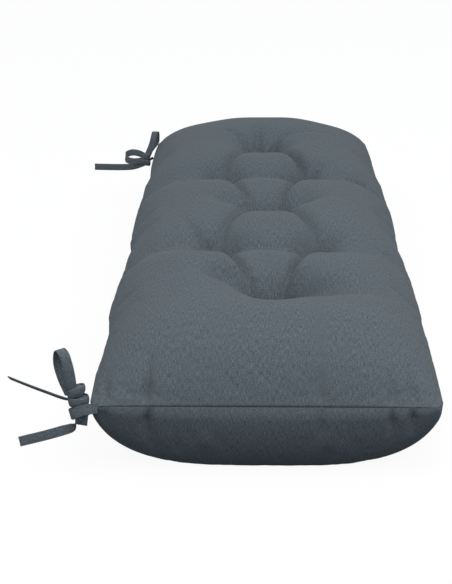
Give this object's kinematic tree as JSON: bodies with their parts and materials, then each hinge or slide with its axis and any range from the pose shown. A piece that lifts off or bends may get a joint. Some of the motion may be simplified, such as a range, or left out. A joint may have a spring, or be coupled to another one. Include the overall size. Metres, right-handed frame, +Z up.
{
  "type": "bench cushion",
  "caption": "Long tufted bench cushion with knife edges in plain woven cloth, and cloth straps tied in bows along one long side.",
  "frame": {"origin": "middle of the bottom of the whole object's box, on the surface that the cushion lies on", "axes": "+Z up, +Y along the length, -X towards the side with the tie straps"},
  "size_m": [0.5892, 1.168, 0.1972],
  "materials": {
    "cloth": "plain weave in slate blue-grey with a fine heather, matt",
    "strap": "the same plain weave, folded and stitched flat, matt"
  },
  "bodies": {
    "root": {"cushion": "cloth", "tie_near": "strap", "tie_far": "strap"}
  },
  "joints": []
}
